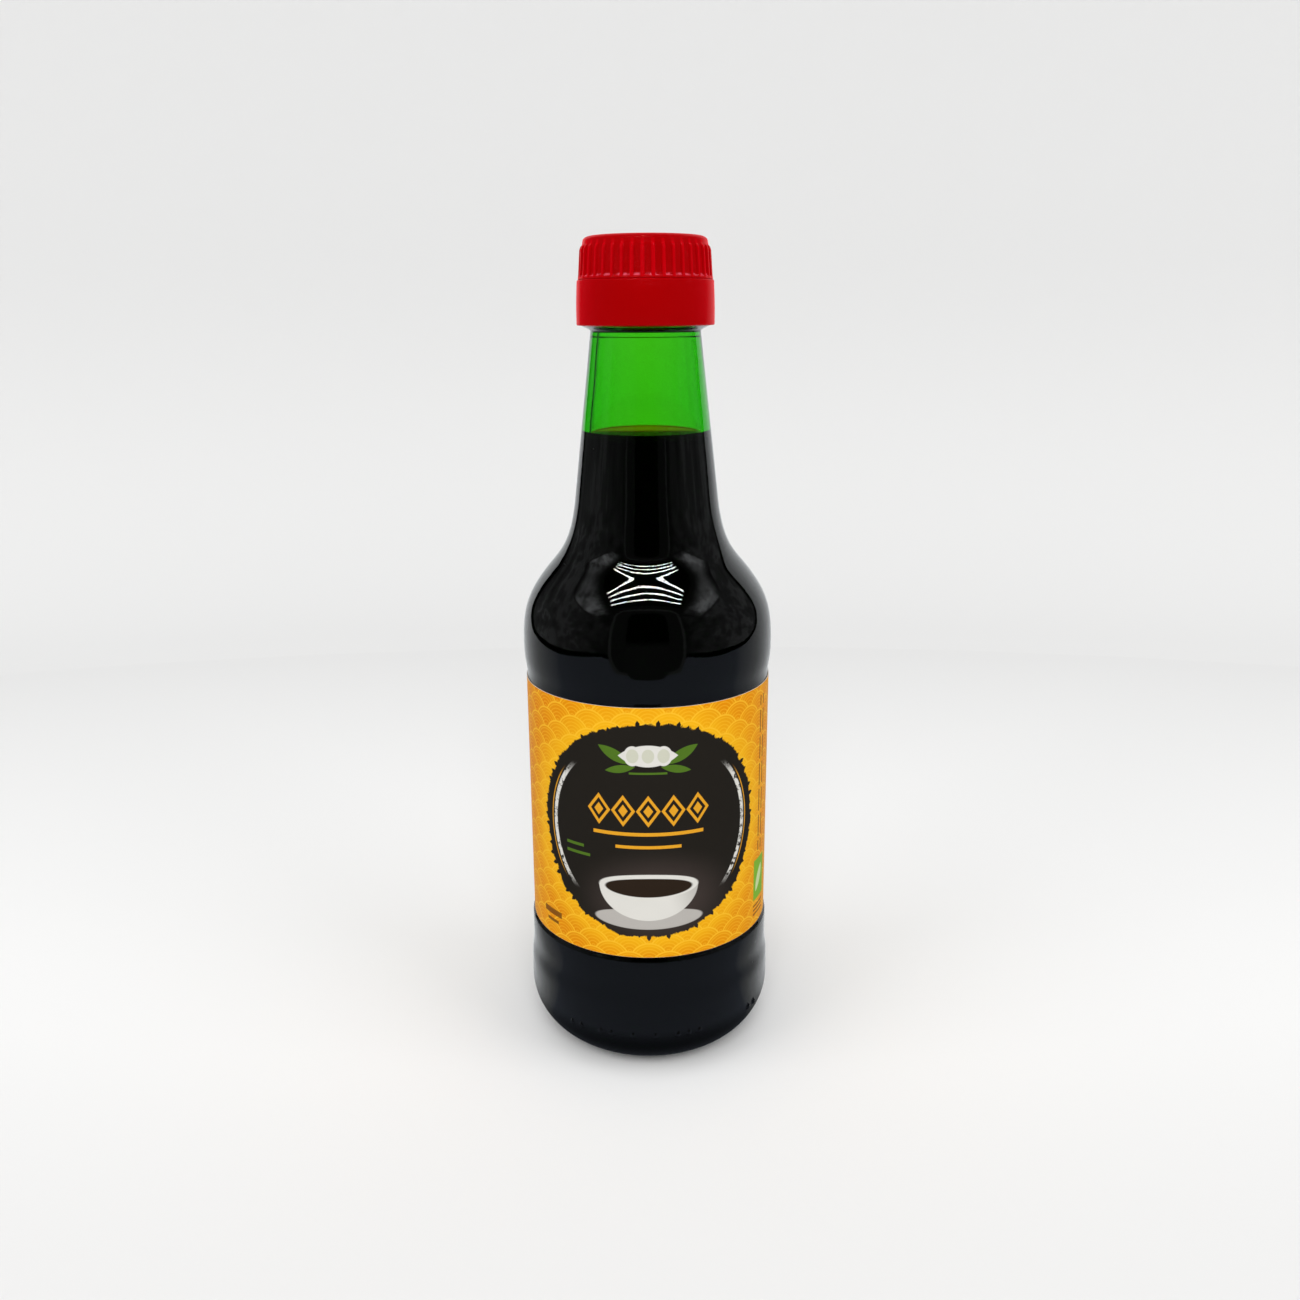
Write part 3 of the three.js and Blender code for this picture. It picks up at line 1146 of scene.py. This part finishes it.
def mirrored_paper(name, spread, drop, material):
    """The paper near enough to show in the glass; drop sets it lower and farther back."""
    shape = bmesh.new()
    back = [spot + point(bowl_back, 0) for spot in bend]
    line = [point(sheet_front - spread, 0), point(0.05, 0), *back, point(0.76, 2.2)]
    verts = [shape.verts.new((-1, spot.x + drop, spot.y - drop)) for spot in line]
    edges = [shape.edges.new(pair) for pair in zip(verts, verts[1:])]
    made = bmesh.ops.extrude_edge_only(shape, edges=edges)
    moved = [item for item in made["geom"] if isinstance(item, bmesh.types.BMVert)]
    bmesh.ops.translate(shape, verts=moved, vec=(2, 0, 0))
    left = [(sheet_front, 0.40), (0.05, 0.47), (0.6, 0.52), (0.8, 0.6)]
    right = [(sheet_front, 0.36), (0.05, 0.53), (0.6, 1.0), (0.8, 1.1)]
    for vert in shape.verts:
        sides = left if vert.co.x < 0 else right
        reach = between(sides, vert.co.y) + spread
        vert.co.x = -reach if vert.co.x < 0 else reach
    wavy_front(shape)
    bmesh.ops.recalc_face_normals(shape, faces=shape.faces)
    only_mirrored(object_from(shape, name, 60), material)


def from_axis(finish, x, y):
    return finish.node("ShaderNodeMath", {"operation": "SQRT"}, {0: x * x + y * y})


def paper_light(finish):
    """Painted light and shade: bright behind and beside the bottle, brighter close beside it, and
    dimmer towards the camera, where it lay in shadow.
    """
    here, (x, y, z) = finish.place()
    far = from_axis(finish, x, y)
    behind = y / far * 0.5 + 0.5
    close = finish.rise(far, 95.0, 45.0) * finish.rise(behind, 0.28, 0.45)
    light = finish.ramp(behind + close * 0.32, [
        (0.45, (0.178, 0.2, 0.25, 1)), (0.5, (0.26, 0.28, 0.32, 1)), (0.71, cool(0.42)),
        (0.82, cool(0.62)), (0.9, cool(0.8))])
    # Painted shadow: the paper close under the heel goes nearly black.
    under_heel = finish.rise(far, 46.0, 28.0)
    return finish.blend(under_heel * 0.85, light, cool(0.01))


def room_light(finish):
    """Nearly black in front and behind, grey and cloudy at the sides."""
    here, (x, y, z) = finish.place()
    cloud = finish.noise(here, 1.6, 3.0, 0.6)
    beside = abs(x) / from_axis(finish, x, y) + (cloud - 0.5) * 1.1
    return finish.ramp(beside, [
        (0.2, cool(0.012)), (0.6, cool(0.04)), (1.0, cool(0.13)), (1.3, cool(0.2))])


def camera_light(finish):
    """Black above and a little light below, from the floor."""
    here, (x, y, z) = finish.place()
    return finish.ramp(z / 350, [(0.3, cool(0.045)), (0.4, cool(0.002))])


def tube_light(finish):
    """Broken up into grains, as the lamp's cover breaks it."""
    here, parts = finish.place()
    grain = finish.noise(here, 260.0, 2.0, 0.7)
    hue = finish.noise(here, 170.0, 0.0)
    colour = finish.blend(finish.rise(hue, 0.35, 0.65), (1.0, 0.92, 0.7, 1), (0.75, 0.85, 1.0, 1))
    return finish.blend(finish.rise(grain, 0.36, 0.56), (0.03, 0.03, 0.04, 1), colour)


def ceiling_light(finish):
    """Dark near the lamp and cloudy beyond it, with no edge to be seen."""
    here, (x, y, z) = finish.place()
    cloud = finish.noise(here, 9.0, 3.0, 0.6)
    beyond = finish.rise(abs(x), 235.0, 345.0) * finish.rise(abs(x), 475.0, 420.0)
    fade = finish.rise(abs(y + 150), 205.0, 90.0)
    return finish.blend(beyond * fade * finish.rise(cloud, 0.2, 0.75), cool(0.03), cool(1.3))


def dark_room():
    shape = bmesh.new()
    bmesh.ops.create_icosphere(shape, subdivisions=4, radius=4.0)
    bmesh.ops.reverse_faces(shape, faces=shape.faces)
    only_mirrored(object_from(shape, "dark_room"), glowing("dark_room", room_light))


black = glowing("black_card", cool(0.002))
dark_room()
mirrored_paper("mirrored_edge", 0.15, 0.002, black)
mirrored_paper("mirrored_paper", 0.0, 0.0, glowing("mirrored_paper", paper_light))
rim_grey = glowing("card_rim", cool(0.13))
card_grey = glowing("grey_card", cool(0.04))
card_black = glowing("camera_card", camera_light)
clouds = glowing("ceiling", ceiling_light)
card("card_rim", (0, -0.302, 0.212), (0.40, 0.44), rim_grey, corner=0.07)
card("grey_card", (0, -0.30, 0.21), (0.36, 0.40), card_grey, corner=0.05)
card("camera_card", (0, -0.27, 0.175), (0.18, 0.35), card_black, corner=0.04)
card("ceiling", (0, -0.15, 0.43), (0.95, 0.42), clouds, tip=0, corner=0.1)
card("lamp_head", (0, -0.15, 0.40), (0.40, 0.19), black, tip=0)
tube = glowing("lamp_tube", tube_light, 60.0)
for index, tube_y in enumerate([-0.210, -0.180, -0.155, -0.130]):
    card(f"lamp_tube_{index}", (-0.01, tube_y, 0.398), (0.36, 0.0055), tube, tip=0)
card("dark_left", (-0.446, 0.313, 0.19), (0.13, 0.36), black, turn=55, through=True)

# %% Soft light
def soft_panel(name, place, aim, size, power):
    data = bpy.data.lights.new(name, "AREA")
    data.shape = "RECTANGLE"
    data.size = size[0]
    data.size_y = size[1]
    data.energy = power
    panel = bpy.data.objects.new(name, data)
    bpy.context.scene.collection.objects.link(panel)
    direction = Vector(aim) - Vector(place)
    aimed = direction.to_track_quat("-Z", "Y").to_matrix().to_4x4()
    panel.matrix_world = Matrix.Translation(place) @ aimed
    panel.visible_camera = False
    panel.visible_glossy = False
    panel.visible_transmission = False


soft_panel("top_panel", (0, -0.35, 1.15), (0, -0.1, 0), (1.3, 0.9), 3.6)
soft_panel("left_panel", (-0.95, -0.5, 0.7), (0, 0, 0.1), (0.8, 0.8), 4.2)
soft_panel("right_panel", (0.95, -0.5, 0.7), (0, 0, 0.1), (0.8, 0.8), 4.2)


def soft_ball(name, place, radius, power):
    """A lamp that shines all ways, so that the bowl is lit evenly on every side."""
    data = bpy.data.lights.new(name, "POINT")
    data.shadow_soft_size = radius
    data.energy = power
    ball = bpy.data.objects.new(name, data)
    bpy.context.scene.collection.objects.link(ball)
    ball.location = place
    ball.visible_camera = False
    ball.visible_glossy = False
    ball.visible_transmission = False


soft_ball("front_ball", (0, -0.9, 0.85), 0.3, 24.0)


def surroundings():
    """A pale room, even from side to side, for the light that it gives."""
    world = bpy.data.worlds.new("pale_room")
    world.use_nodes = True
    tree = world.node_tree
    tree.nodes.clear()
    out = tree.nodes.new("ShaderNodeOutputWorld")
    room = tree.nodes.new("ShaderNodeBackground")
    room.inputs["Color"].default_value = (0.80, 0.80, 0.79, 1)
    room.inputs["Strength"].default_value = 0.5
    tree.links.new(room.outputs[0], out.inputs["Surface"])
    bpy.context.scene.world = world


surroundings()
scene = bpy.context.scene
scene.view_settings.view_transform = "Standard"
scene.view_settings.look = "None"
